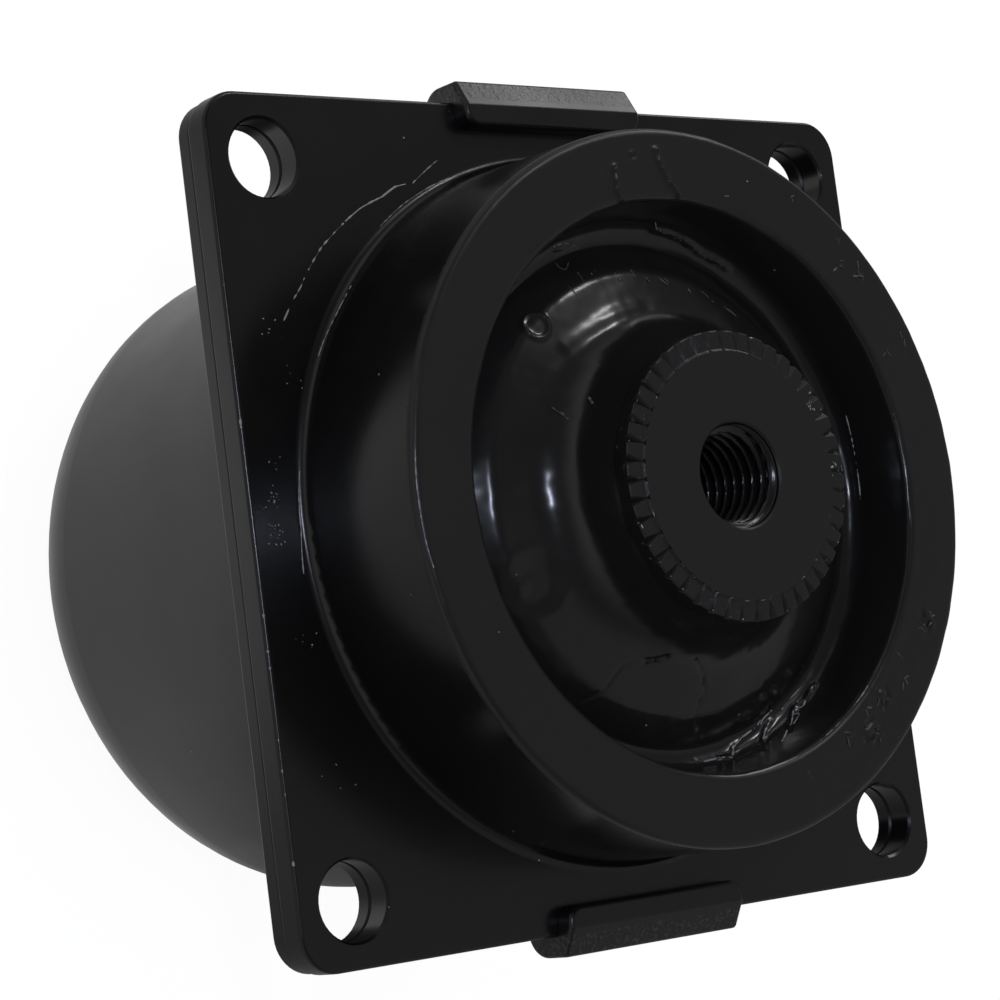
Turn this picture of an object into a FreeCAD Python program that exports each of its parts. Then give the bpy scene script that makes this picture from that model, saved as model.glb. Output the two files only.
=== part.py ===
import FreeCAD, Part
import math
import os

# Cab mount: a drawn cup of damping fluid, closed by a rubber spring in a square
# pressed housing, with a serrated centre boss that carries the cab.
# Millimetres, +Z up along the boss. The origin is at the middle of the cup's
# resting face. Heights below are measured up from that face.

# Housing neck
neck_radius = 55.0
neck_wall = 3.6
neck_draft = 0.5             # how much wider the neck is at the plate than at its lip
neck_root_radius = 1.6
neck_height = 25.6           # plate's front face to the top of the steel lip
neck_edge_radius = 0.5
lip_thickness = 4.0
lip_width = 9.0              # from the neck's outside to the lip's free edge
lip_edge_radius = 0.6
lip_fold_radius = 1.0        # inside, where the lip turns in from the wall

# Flange pair
flange_margin = 10.0         # neck's outside to the flange's edge
flange_corner_radius = 6.0
flange_edge_radius = 0.6
seam_edge_radius = 0.4       # where the two sheets meet at the rim
flange_inset = 0.2           # cup's flange, inside the housing's rim
bolt_edge = 10.0             # bolt hole's centre to each edge
bolt_hole_diameter = 12.0
bolt_hole_easing = 0.4       # chamfer at both faces of each sheet
housing_sheet = 4.5
cup_sheet = 3.2

# Drawn cup
cup_height = 84.0            # resting face to the seam between the two flanges
cup_step = 1.4               # cup's outside just under the flange, beyond the neck's
cup_draft = 1.0              # how much smaller the radius is above the bottom corner
cup_corner_radius = 19.5
cup_root_radius = 3.0
cup_dish_depth = 1.2         # shallow dish pressed up into the bottom
cup_dish_slope = 2.4
cup_dish_round = 3.0

# Clinch tabs, folded from the cup's flange over the housing's plate
tab_width = 36.0
tab_lap = 4.5
tab_bend_radius = 4.0
tab_bevel_width = 4.3        # flat that the clinching tool leaves along the fold
tab_bevel_drop = 2.5
tab_crease_radius = 0.6
tab_corner_radius = 2.5
tab_edge_radius = 0.8
clinch_gap = 0.1

# Rubber spring: stop pad on the lip, recess with a groove, shoulder and bell
pad_thickness = 0.8
pad_edge_radius = 0.7
lip_cover = 2.1              # rubber over the lip's free edge
recess_edge_radius = 1.3
recess_taper = 1.6
groove_depth = 11.9          # below the stop pad
groove_radius = 3.0
groove_width = 2.9           # flat of the groove's floor, with its inner rounding
groove_inner_round = 2.0
shoulder_width = 4.9         # from the groove's floor in to the shoulder's corner
shoulder_drop = 8.2          # below the stop pad
shoulder_round = 4.0
bell_corner_offset = 8.2     # outside the boss's shank
bell_corner_drop = 5.6       # below the stop pad
bell_round = 9.0
neck_cover = 0.9             # how far the bell stops inside the head's rim
liner_wall = 2.5
liner_top_round = 1.0
foot_height = 0.3            # the liner's foot stands this far above the seam
foot_width = 11.0
foot_round = 3.0
cone_rise = 9.0              # underside, from the foot to the boss
cone_top_round = 1.5
seal_bead_radius = 1.6
bond_gap = 0.3               # rubber to boss, and coil spring to its cap

# Centre boss
boss_stand = 7.9             # head's face above the stop pad
head_radius = 22.0
head_thickness = 3.2
head_rim_drop = 0.35         # teeth crests below the flat face
head_rim_round = 0.3
tooth_count = 44
tooth_depth = 1.0
tooth_band = 3.2             # radial width of the serrated band
tooth_share = 0.84           # of the pitch, cut away at the rim
tooth_start_share = 0.35     # of that width, where the cut begins at the flat face
shank_radius = 16.0
shank_low_radius = 13.0
shank_taper = 6.0
shank_bare = 1.0             # shank below the rubber, before the taper
thread_radius = 8.0          # M16, at the outside of the thread
thread_depth = 30.0
thread_chamfer = 0.3
drill_point_angle = 118.0

# Damper plate and what clamps it to the boss
plate_drop = 11.5            # plate's top face below the seam
plate_clearance = 5.2        # to the cup's wall, where the fluid is sheared
plate_sheet = 3.2
plate_lip = 9.0
plate_bend_radius = 4.5
plate_edge_radius = 0.5
spigot_radius = 10.0
spigot_clearance = 0.1
spigot_short = 0.2           # the spigot ends inside the plate, so the washer clamps it
spigot_chamfer = 0.5
rebound_gap = 5.4            # buffer's top to the rubber spring's foot
buffer_width = 7.0
buffer_crown = 1.2           # rounding of the buffer's top
buffer_inset = 0.2           # from the plate's flat to the buffer's foot
washer_radius = 14.0
washer_thickness = 3.0
washer_edge_radius = 0.5
screw_radius = 5.0
screw_length = 11.0          # thread in the boss
screw_hole_depth = 14.0
screw_clearance = 0.05
screw_head_width = 16.0
screw_head_height = 6.4
screw_head_chamfer = 0.8

# Coil spring and its seats
spring_wire = 7.0
spring_turns = 4.6
spring_end_share = 0.15      # of the wire, from its centre to the ground end face
seat_clearance = 0.5
seat_margin = 2.0            # seats reach this far past the wire's outside
floor_clearance = 0.4        # cushion's rim to the start of the cup's corner
cap_sheet = 2.0
cap_collar = 7.0
cap_edge_radius = 0.5
cap_fold_radius = 1.5
cushion_thickness = 3.0
cushion_collar = 8.0
cushion_wall = 3.0
cushion_draft = 0.6
cushion_edge_radius = 0.8
cushion_clearance = 1.0      # round the dish in the cup's bottom

# Levels and radii that follow
flange_side = 2 * (neck_radius + flange_margin)
bolt_spacing = flange_side - 2 * bolt_edge
seam_level = cup_height
plate_level = seam_level + housing_sheet
lip_level = plate_level + neck_height
pad_level = lip_level + pad_thickness
boss_level = pad_level + boss_stand
shank_level = boss_level - head_thickness
foot_level = seam_level + foot_height
cone_level = foot_level + cone_rise
damper_level = seam_level - plate_drop
cap_level = damper_level - plate_sheet
boss_end = cap_level + spigot_short
washer_seat = cap_level - washer_thickness
spring_top = cap_level - cap_sheet
spring_foot = cup_sheet + cushion_thickness
neck_base_radius = neck_radius + neck_draft
neck_inner_radius = neck_radius - neck_wall
lip_inner_radius = neck_radius - lip_width
recess_radius = lip_inner_radius - lip_cover
groove_floor_radius = recess_radius - recess_taper - groove_width
shoulder_radius = groove_floor_radius - shoulder_width
cup_radius = neck_radius + cup_step
cup_low_radius = cup_radius - cup_draft
plate_radius = cup_radius - cup_sheet - plate_clearance
seat_radius = cup_low_radius - cup_corner_radius - floor_clearance
spring_radius = seat_radius - seat_margin - spring_wire / 2
collar_radius = spring_radius - spring_wire / 2 - seat_clearance
cushion_inner_radius = collar_radius - cushion_wall
cup_dish_radius = cushion_inner_radius - cushion_clearance

Vector = FreeCAD.Vector
AXIS = Vector(0, 0, 1)
OVERCUT = 1.0                # how far a cutter runs past the face that it opens
TINY = 1e-6


def rounded_wire(corners):
    """A closed wire in the XZ plane through (radius, height, rounding) corners."""
    count = len(corners)
    points = [Vector(r, 0, z) for r, z, _ in corners]
    ends = []
    for i, (_, _, rounding) in enumerate(corners):
        here = points[i]
        if rounding <= 0:
            ends.append((here, None, here))
            continue
        before = points[i - 1] - here
        after = points[(i + 1) % count] - here
        half = before.getAngle(after) / 2
        setback = rounding / math.tan(half)
        before.normalize()
        after.normalize()
        middle = before + after
        middle.normalize()
        reach = rounding / math.sin(half) - rounding
        ends.append((here + before * setback, here + middle * reach, here + after * setback))
    edges = []
    for i, (start, arc_point, end) in enumerate(ends):
        if arc_point is not None:
            edges.append(Part.Arc(start, arc_point, end).toShape())
        following = ends[(i + 1) % count][0]
        if end.distanceToPoint(following) > TINY:
            edges.append(Part.LineSegment(end, following).toShape())
    return Part.Wire(edges)


def turned(corners):
    """The solid that the rounded section sweeps in one turn about the axis."""
    return Part.Face(rounded_wire(corners)).revolve(Vector(0, 0, 0), AXIS, 360)


def drilled(radius, low, high, x=0.0, y=0.0):
    """A cylinder that cuts from low to high."""
    return Part.makeCylinder(radius, high - low, Vector(x, y, low))


def spread(shape, count):
    """Copies of a shape, evenly round the axis."""
    copies = []
    for i in range(count):
        copy = shape.copy()
        copy.rotate(Vector(0, 0, 0), AXIS, 360.0 * i / count)
        copies.append(copy)
    return Part.makeCompound(copies)


def is_level(edge, level):
    """True for an edge that lies flat at one level."""
    box = edge.BoundBox
    return box.ZLength < TINY and abs(box.ZMin - level) < TINY


def is_upright(edge):
    """True for a straight edge along the axis."""
    box = edge.BoundBox
    return box.XLength < TINY and box.YLength < TINY


def flange(side, low, high, opening):
    """The rounded square with a round opening, its rim eased on both faces."""
    half = side / 2
    plate = Part.makeBox(side, side, high - low, Vector(-half, -half, low))
    plate = plate.makeFillet(flange_corner_radius, [e for e in plate.Edges if is_upright(e)])
    for level in (low, high):
        rim = [e for e in plate.Edges if is_level(e, level)]
        radius = seam_edge_radius if level == seam_level else flange_edge_radius
        plate = plate.makeFillet(radius, rim)
    return plate.cut(drilled(opening, low - OVERCUT, high + OVERCUT))


def bolt_holes(low, high):
    """The four bolt holes' cutters, each with a chamfer at both of the sheet's faces."""
    radius = bolt_hole_diameter / 2
    wide = radius + bolt_hole_easing + OVERCUT
    cutter = turned([
        (0, low - OVERCUT, 0),
        (wide, low - OVERCUT, 0),
        (radius, low + bolt_hole_easing, 0),
        (radius, high - bolt_hole_easing, 0),
        (wide, high + OVERCUT, 0),
        (0, high + OVERCUT, 0),
    ])
    half = bolt_spacing / 2
    copies = []
    for x, y in [(x, y) for x in (-half, half) for y in (-half, half)]:
        copy = cutter.copy()
        copy.translate(Vector(x, y, 0))
        copies.append(copy)
    return Part.makeCompound(copies)


def upper_housing():
    """Square plate with the neck drawn up from it and turned in to a lip."""
    joint_radius = neck_base_radius + neck_root_radius + housing_sheet
    plate = flange(flange_side, seam_level, plate_level, joint_radius)
    neck = turned([
        (joint_radius, seam_level, 0),
        (joint_radius, plate_level, 0),
        (neck_base_radius, plate_level, neck_root_radius),
        (neck_radius, lip_level, neck_edge_radius),
        (lip_inner_radius, lip_level, lip_edge_radius),
        (lip_inner_radius, lip_level - lip_thickness, lip_edge_radius),
        (neck_inner_radius, lip_level - lip_thickness, lip_fold_radius),
        (neck_inner_radius, seam_level, neck_root_radius + neck_wall),
    ])
    body = plate.fuse(neck).removeSplitter()
    return body.cut(bolt_holes(seam_level, plate_level))


def clinch_tab(side):
    """One tab: out from the flange, up past the housing's edge and over its face."""
    inner = flange_side / 2 + clinch_gap
    outer = inner + cup_sheet
    under = plate_level + clinch_gap
    top = under + cup_sheet
    lap_end = inner - tab_lap
    section = rounded_wire([
        (lap_end, seam_level - cup_sheet, 0),
        (outer, seam_level - cup_sheet, tab_bend_radius),
        (outer, top - tab_bevel_drop, tab_bend_radius - cup_sheet),
        (outer - tab_bevel_width, top, tab_crease_radius),
        (lap_end, top, 0),
        (lap_end, under, 0),
        (inner, under, tab_bend_radius - cup_sheet),
        (inner, seam_level, 0),
        (lap_end, seam_level, 0),
    ])
    tab = Part.Face(section).extrude(Vector(0, tab_width, 0))
    tab.translate(Vector(0, -tab_width / 2, 0))
    corners = [e for e in tab.Edges
               if is_upright(e) and abs(e.BoundBox.XMin - lap_end) < TINY
               and e.BoundBox.ZMin > under - TINY]
    tab = tab.makeFillet(tab_corner_radius, corners)
    tab = tab.makeFillet(tab_edge_radius, [e for e in tab.Edges if is_level(e, top)])
    if side < 0:
        tab.rotate(Vector(0, 0, 0), AXIS, 180)
    return tab


def fluid_cup():
    """Deep-drawn cup with its square flange, dished bottom and the clinch tabs."""
    under = seam_level - cup_sheet
    joint_radius = cup_radius + cup_root_radius + cup_sheet
    dish_inner = cup_dish_radius - cup_dish_slope
    plate = flange(flange_side - 2 * flange_inset, under, seam_level, joint_radius)
    shell = turned([
        (joint_radius, under, 0),
        (joint_radius, seam_level, 0),
        (cup_radius - cup_sheet, seam_level, cup_root_radius + cup_sheet),
        (cup_low_radius - cup_sheet, cup_sheet, cup_corner_radius - cup_sheet),
        (cup_dish_radius, cup_sheet, cup_dish_round),
        (dish_inner, cup_sheet + cup_dish_depth, cup_dish_round),
        (0, cup_sheet + cup_dish_depth, 0),
        (0, cup_dish_depth, 0),
        (dish_inner, cup_dish_depth, cup_dish_round),
        (cup_dish_radius, 0, cup_dish_round),
        (cup_low_radius, 0, cup_corner_radius),
        (cup_radius, under, cup_root_radius),
    ])
    body = plate.fuse([shell, clinch_tab(1), clinch_tab(-1)]).removeSplitter()
    return body.cut(bolt_holes(under, seam_level))


def rubber_spring():
    """One moulding: stop pad, recess, bell round the boss, underside and sealing bead."""
    groove_level = pad_level - groove_depth
    bell_inner = shank_radius + bond_gap
    bell_top = shank_level - bond_gap
    foot_inner = neck_inner_radius - liner_wall - foot_width
    under_lip = lip_level - lip_thickness
    return turned([
        (neck_radius, lip_level, 0),
        (neck_radius, pad_level, pad_edge_radius),
        (recess_radius, pad_level, recess_edge_radius),
        (recess_radius - recess_taper, groove_level, groove_radius),
        (groove_floor_radius, groove_level, groove_inner_round),
        (shoulder_radius, pad_level - shoulder_drop, shoulder_round),
        (shank_radius + bell_corner_offset, pad_level - bell_corner_drop, bell_round),
        (head_radius - neck_cover, bell_top, 0),
        (bell_inner, bell_top, 0),
        (bell_inner, cone_level, 0),
        (bell_inner + liner_wall, cone_level, cone_top_round),
        (foot_inner, foot_level, foot_round),
        (neck_inner_radius - seal_bead_radius, foot_level, seal_bead_radius),
        (neck_inner_radius, foot_level + 2 * seal_bead_radius, 0),
        (neck_inner_radius, under_lip, liner_top_round),
        (lip_inner_radius, under_lip, lip_edge_radius),
        (lip_inner_radius, lip_level, lip_edge_radius),
    ])


def tooth_gap():
    """Cutter for one gap between two teeth: a wedge that widens and deepens outwards."""
    inner = head_radius - tooth_band
    outer = head_radius + OVERCUT
    crest = boss_level - head_rim_drop
    half_width = tooth_share * math.pi * head_radius / tooth_count
    depth = tooth_depth * (outer - inner) / tooth_band

    def triangle(radius, width, drop):
        """One cross-section of the wedge, across the radius."""
        left = Vector(radius, -width, crest + head_rim_drop)
        right = Vector(radius, width, crest + head_rim_drop)
        return Part.makePolygon([left, right, Vector(radius, 0, crest - drop), left])

    return Part.makeLoft([triangle(inner, half_width * tooth_start_share, 0),
                          triangle(outer, half_width, depth)], True, True)


def center_boss():
    """Turned boss with a serrated head, a blind thread and a spigot for the plate."""
    band_inner = head_radius - tooth_band
    crest = boss_level - head_rim_drop
    taper_level = cone_level - shank_bare
    body = turned([
        (0, boss_level, 0),
        (band_inner, boss_level, 0),
        (band_inner + head_rim_drop, crest, 0),
        (head_radius, crest, head_rim_round),
        (head_radius, shank_level, head_rim_round),
        (shank_radius, shank_level, 0),
        (shank_radius, taper_level, 0),
        (shank_low_radius, taper_level - shank_taper, 0),
        (shank_low_radius, damper_level, 0),
        (spigot_radius, damper_level, 0),
        (spigot_radius, boss_end, spigot_chamfer),
        (0, boss_end, 0),
    ])
    body = body.cut(spread(tooth_gap(), tooth_count))
    point = thread_radius / math.tan(math.radians(drill_point_angle / 2))
    bottom = boss_level - thread_depth
    bore = turned([
        (0, boss_level + OVERCUT, 0),
        (thread_radius + thread_chamfer + OVERCUT, boss_level + OVERCUT, 0),
        (thread_radius, boss_level - thread_chamfer, 0),
        (thread_radius, bottom, 0),
        (0, bottom - point, 0),
    ])
    screw_hole = drilled(screw_radius + screw_clearance, boss_end - OVERCUT,
                         boss_end + screw_hole_depth)
    return body.cut(bore).cut(screw_hole)


def damper_plate():
    """Pressed dish that the boss sweeps through the fluid, with a gap round its rim."""
    rim = damper_level - plate_lip
    bore = spigot_radius + spigot_clearance
    return turned([
        (bore, cap_level, 0),
        (bore, damper_level, 0),
        (plate_radius, damper_level, plate_bend_radius),
        (plate_radius, rim, plate_edge_radius),
        (plate_radius - plate_sheet, rim, plate_edge_radius),
        (plate_radius - plate_sheet, cap_level, plate_bend_radius - plate_sheet),
    ])


def rebound_buffer():
    """Rubber ring on the damper plate, which meets the spring's foot on rebound."""
    outer = plate_radius - plate_bend_radius - buffer_inset
    inner = outer - buffer_width
    top = foot_level - rebound_gap
    return turned([
        (inner, damper_level, 0),
        (outer, damper_level, 0),
        (outer - buffer_width / 4, top, buffer_crown),
        (inner + buffer_width / 4, top, buffer_crown),
    ])


def plate_washer():
    """Thick washer under the screw's head."""
    hole = screw_radius + screw_clearance
    return turned([
        (hole, washer_seat, 0),
        (washer_radius, washer_seat, washer_edge_radius),
        (washer_radius, cap_level, washer_edge_radius),
        (hole, cap_level, 0),
    ])


def plate_screw():
    """Hex screw up into the boss, through the washer and the plate."""
    low = washer_seat - screw_head_height
    corner = screw_head_width / math.sqrt(3)
    points = [Vector(corner * math.cos(math.radians(a)), corner * math.sin(math.radians(a)), low)
              for a in range(0, 361, 60)]
    head = Part.Face(Part.makePolygon(points)).extrude(Vector(0, 0, screw_head_height))
    eased = turned([
        (0, low, 0),
        (corner - screw_head_chamfer, low, 0),
        (corner, low + screw_head_chamfer, 0),
        (corner, washer_seat, 0),
        (0, washer_seat, 0),
    ])
    shank = drilled(screw_radius, washer_seat - OVERCUT, boss_end + screw_length)
    return head.common(eased).fuse(shank).removeSplitter()


def spring_cap():
    """Pressed ring that seats the spring against the damper plate."""
    inner = washer_radius + seat_clearance
    low = cap_level - cap_collar
    return turned([
        (inner, spring_top, 0),
        (inner, cap_level, 0),
        (seat_radius, cap_level, cap_edge_radius),
        (seat_radius, spring_top, cap_edge_radius),
        (collar_radius, spring_top, 0),
        (collar_radius, low, cap_edge_radius),
        (collar_radius - cap_sheet, low, cap_edge_radius),
        (collar_radius - cap_sheet, spring_top, cap_fold_radius),
    ])


def spring_cushion():
    """Rubber ring on the cup's floor, with a collar that centres the spring."""
    top = cup_sheet + cushion_collar
    return turned([
        (cushion_inner_radius, cup_sheet, 0),
        (seat_radius, cup_sheet, 0),
        (seat_radius, spring_foot, cushion_edge_radius),
        (collar_radius, spring_foot, 0),
        (collar_radius - cushion_draft, top, cushion_edge_radius),
        (cushion_inner_radius, top, cushion_edge_radius),
    ])


def coil_spring():
    """Round-wire spring with ground ends, between the cushion and the cap."""
    inset = spring_end_share * spring_wire
    length = spring_top - bond_gap - spring_foot
    pitch = (length - 2 * inset) / spring_turns
    path = Part.makeHelix(pitch, length - 2 * inset, spring_radius)
    path.translate(Vector(0, 0, spring_foot + inset))
    start = Vector(spring_radius, 0, spring_foot + inset)
    along = Vector(0, 2 * math.pi * spring_radius, pitch)
    section = Part.Wire(Part.makeCircle(spring_wire / 2, start, along))
    coil = Part.Wire(path.Edges).makePipeShell([section], True, True)
    size = 2 * (spring_radius + spring_wire)
    slab = Part.makeBox(size, size, length, Vector(-size / 2, -size / 2, spring_foot))
    return coil.common(slab)


NODES = {
    "upper_housing": upper_housing,
    "fluid_cup": fluid_cup,
    "rubber_spring": rubber_spring,
    "center_boss": center_boss,
    "damper_plate": damper_plate,
    "rebound_buffer": rebound_buffer,
    "plate_washer": plate_washer,
    "plate_screw": plate_screw,
    "spring_cap": spring_cap,
    "coil_spring": coil_spring,
    "spring_cushion": spring_cushion,
}


def main():
    os.makedirs("parts", exist_ok=True)
    for name, make in NODES.items():
        shape = make().Solids[0]
        print(name, "volume", round(shape.Volume), "valid", shape.isValid())
        shape.exportStep("parts/" + name + ".step")


main()
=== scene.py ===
"""Looks of a fluid-damped cab mount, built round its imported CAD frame.

The frame's axes hold throughout: +Z runs along the boss, X across the two folded
tabs. Sizes in the classes are in millimetres, as on a drawing, and MM turns them
into the metres that the meshes need.
"""
import logging
import math
from collections.abc import Sequence
from dataclasses import dataclass
from enum import Enum

import bpy
import numpy as np
from mathutils import Matrix, Vector


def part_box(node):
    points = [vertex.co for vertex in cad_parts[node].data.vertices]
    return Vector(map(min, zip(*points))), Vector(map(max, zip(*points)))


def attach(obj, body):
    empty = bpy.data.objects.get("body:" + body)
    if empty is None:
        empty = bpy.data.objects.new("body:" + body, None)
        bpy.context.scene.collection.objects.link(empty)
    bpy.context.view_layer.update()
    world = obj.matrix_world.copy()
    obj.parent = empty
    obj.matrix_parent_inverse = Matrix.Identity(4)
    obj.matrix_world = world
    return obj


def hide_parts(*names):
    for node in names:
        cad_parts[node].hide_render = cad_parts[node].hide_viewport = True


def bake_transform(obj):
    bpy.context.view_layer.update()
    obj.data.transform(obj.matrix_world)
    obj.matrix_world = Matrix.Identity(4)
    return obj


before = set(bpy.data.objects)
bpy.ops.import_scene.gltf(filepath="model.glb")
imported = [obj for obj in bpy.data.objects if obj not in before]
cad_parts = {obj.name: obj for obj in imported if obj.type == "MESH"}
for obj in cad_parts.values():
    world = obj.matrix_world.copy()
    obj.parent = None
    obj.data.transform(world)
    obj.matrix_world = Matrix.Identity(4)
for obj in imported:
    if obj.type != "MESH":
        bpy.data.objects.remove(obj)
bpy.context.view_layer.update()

MM = 0.001

log = logging.getLogger("cab_mount")


class Body(Enum):
    """The rigid bodies that pieces ride on."""

    CASE = "case"
    HUB = "hub"


# Shapes

@dataclass(frozen=True)
class Corner:
    """A corner of a turned section: radius, height and the rounding there."""

    radius: float
    height: float
    rounding: float = 0.0


# A place on a turned surface: radius, height and angle in degrees.
Spot = tuple[float, float, float]


def cartesian(spots: Sequence[Spot] | np.ndarray) -> np.ndarray:
    """Places on a turned surface as rows of x, y, z."""
    radius, height, angle = np.array(spots).T
    turn = np.radians(angle)
    return np.stack([radius * np.cos(turn), radius * np.sin(turn), height], axis=1)


def unit(vector: np.ndarray) -> np.ndarray:
    """The vector at length 1."""
    return vector / np.linalg.norm(vector)


def rounded_section(corners: Sequence[Corner], steps: int = 16) -> np.ndarray:
    """Points along a section whose inner corners are rounded by tangent arcs.

    With a and b the unit vectors from a corner to its neighbours and t half the
    angle between them, the arc's centre is corner + (a + b) / |a + b| * r / sin t
    and it touches the sides at corner + a * r / tan t and corner + b * r / tan t.

    Args:
        corners: the section's corners in order; the first and last stay sharp.
        steps: points on each arc.

    Returns:
        An array of (radius, height) rows.
    """
    places = np.array([[c.radius, c.height] for c in corners])
    parts = [places[:1]]
    for index in range(1, len(corners) - 1):
        here = places[index]
        rounding = corners[index].rounding
        if rounding <= 0:
            parts.append(here[None, :])
            continue
        a = unit(places[index - 1] - here)
        b = unit(places[index + 1] - here)
        half = math.acos(float(np.clip(a @ b, -1, 1))) / 2
        centre = here + unit(a + b) * rounding / math.sin(half)
        start = here + a * rounding / math.tan(half) - centre
        end = here + b * rounding / math.tan(half) - centre
        first = math.atan2(start[1], start[0])
        sweep = (math.atan2(end[1], end[0]) - first + math.pi) % (2 * math.pi) - math.pi
        turns = first + sweep * np.linspace(0, 1, steps)
        parts.append(centre + rounding * np.stack([np.cos(turns), np.sin(turns)], axis=1))
    parts.append(places[-1:])
    return np.concatenate(parts)


def resampled(line: np.ndarray, step: float) -> np.ndarray:
    """The same line with points evenly spaced along it, about one step apart."""
    lengths = np.linalg.norm(np.diff(line, axis=0), axis=1)
    along = np.concatenate([[0.0], np.cumsum(lengths)])
    count = max(int(round(along[-1] / step)), 1) + 1
    wanted = np.linspace(0, along[-1], count)
    return np.stack([np.interp(wanted, along, line[:, k]) for k in range(line.shape[1])], axis=1)


def grid_faces(rows: int, columns: int, wrap_rows: bool, wrap_columns: bool) -> np.ndarray:
    """Quads over a grid whose point (i, j) is number i * columns + j."""
    i = np.arange(rows if wrap_rows else rows - 1)[:, None]
    j = np.arange(columns if wrap_columns else columns - 1)[None, :]
    next_i = (i + 1) % rows
    next_j = (j + 1) % columns
    quads = np.stack([i * columns + j, i * columns + next_j,
                      next_i * columns + next_j, next_i * columns + j], axis=-1)
    return quads.reshape(-1, 4)


def tube(line: np.ndarray, radius: np.ndarray, sides: int
         ) -> tuple[np.ndarray, list[list[int]]]:
    """A closed tube: round a line's point p lie p + r (s cos a + u sin a).

    Here s is level and square to the line, and u is square to both.

    Args:
        line: rows of x, y, z.
        radius: r at each of them.
        sides: points round the tube.

    Returns:
        The tube's points, and its faces as lists of point numbers, facing outwards.
    """
    along = np.gradient(line, axis=0)
    along /= np.linalg.norm(along, axis=1)[:, None]
    side = np.cross([0.0, 0.0, 1.0], along)
    side /= np.linalg.norm(side, axis=1)[:, None]
    up = np.cross(along, side)
    ring = np.linspace(0, 2 * math.pi, sides, endpoint=False)
    points = line[:, None, :] + radius[:, None, None] * (
        np.cos(ring)[None, :, None] * side[:, None, :]
        + np.sin(ring)[None, :, None] * up[:, None, :])
    rows = len(line)
    faces = grid_faces(rows, sides, False, True).tolist()
    faces.append(list(range(sides - 1, -1, -1)))
    faces.append(list(range((rows - 1) * sides, rows * sides)))
    return points.reshape(-1, 3), faces


def make_piece(name: str, points: np.ndarray, faces: np.ndarray | list,
               sharp_angle: float = 40.0) -> bpy.types.Object:
    """A mesh object at the origin from points in millimetres.

    Args:
        name: the object's name.
        points: an array of x, y, z rows in millimetres.
        faces: rows of point numbers.
        sharp_angle: degrees past which an edge between faces is drawn sharp.

    Returns:
        The new object, linked to the scene.
    """
    mesh = bpy.data.meshes.new(name)
    rows = faces.tolist() if isinstance(faces, np.ndarray) else faces
    mesh.from_pydata((points * MM).tolist(), [], rows)
    mesh.validate()
    mesh.shade_smooth()
    mesh.set_sharp_from_angle(angle=math.radians(sharp_angle))
    piece = bpy.data.objects.new(name, mesh)
    bpy.context.scene.collection.objects.link(piece)
    return piece


class TurnedSurface:
    """A closed section carried once round the axis, with a relief on what shows.

    A shown point is (r + h nr) cos a, (r + h nr) sin a, z + h nz, where (r, z) is
    its place on the section, (nr, nz) the section's outward normal, a the angle
    and h the relief's height there.
    """

    def __init__(self, shown: Sequence[Corner], hidden: Sequence[Corner],
                 step: float, columns: int) -> None:
        """Works out the surface before its relief.

        Args:
            shown: the section's visible stretch, from its outer end to its inner.
            hidden: corners that close the section, from the inner end to the outer.
            step: spacing of points on the visible stretch.
            columns: points round the axis.
        """
        self.line = resampled(rounded_section(shown), step)
        self.closing = resampled(rounded_section(hidden), 12 * step)[1:-1]
        self.turn = np.linspace(0, 2 * math.pi, columns, endpoint=False)
        along = np.gradient(self.line, axis=0)
        along /= np.linalg.norm(along, axis=1)[:, None]
        self.normal = np.stack([along[:, 1], -along[:, 0]], axis=1)

    def carried(self, section: np.ndarray) -> np.ndarray:
        """Points of a (rows, columns, 2) section as (rows, columns, 3)."""
        radius, height = section[..., 0], section[..., 1]
        return np.stack([radius * np.cos(self.turn), radius * np.sin(self.turn),
                         np.broadcast_to(height, radius.shape)], axis=-1)

    def spread(self, section: np.ndarray) -> np.ndarray:
        """The section repeated at every angle."""
        return np.repeat(section[:, None, :], len(self.turn), axis=1)

    def surface(self) -> np.ndarray:
        """The visible surface's points without relief."""
        return self.carried(self.spread(self.line))

    def piece(self, name: str, relief: np.ndarray) -> bpy.types.Object:
        """The closed mesh with its relief, which fades out at the visible stretch's ends."""
        rows = len(self.line)
        fade = np.clip(np.minimum(np.arange(rows), np.arange(rows)[::-1]) / 4.0, 0, 1)
        lifted = self.spread(self.line) + (self.spread(self.normal)
                                           * (relief * fade[:, None])[..., None])
        points = np.concatenate([self.carried(lifted), self.carried(self.spread(self.closing))])
        faces = grid_faces(len(points), len(self.turn), True, True)
        return make_piece(name, points.reshape(-1, 3), faces)


# Reliefs: each gives a height in millimetres at every point of a surface

def waves(points: np.ndarray, size: float, seed: int, count: int = 24) -> np.ndarray:
    """Soft irregular waves: the mean of plane sine waves of random direction and phase.

    Args:
        points: x, y, z along the last axis.
        size: length of the typical wave.
        seed: number that fixes the waves.
        count: how many waves are summed.

    Returns:
        Heights of about -1 to 1.
    """
    chance = np.random.default_rng(seed)
    directions = chance.normal(size=(count, 3))
    directions /= np.linalg.norm(directions, axis=1)[:, None]
    directions *= (2 * math.pi / size) * chance.uniform(0.6, 1.5, size=(count, 1))
    phases = chance.uniform(0, 2 * math.pi, size=count)
    total = np.zeros(points.shape[:-1])
    for direction, phase in zip(directions, phases):
        total += np.sin(points @ direction + phase)
    return total * math.sqrt(2.0 / count) / 1.6


def smooth_step(value: np.ndarray) -> np.ndarray:
    """0 below 0, 1 above 1, and 3v^2 - 2v^3 between."""
    v = np.clip(value, 0, 1)
    return v * v * (3 - 2 * v)


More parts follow.
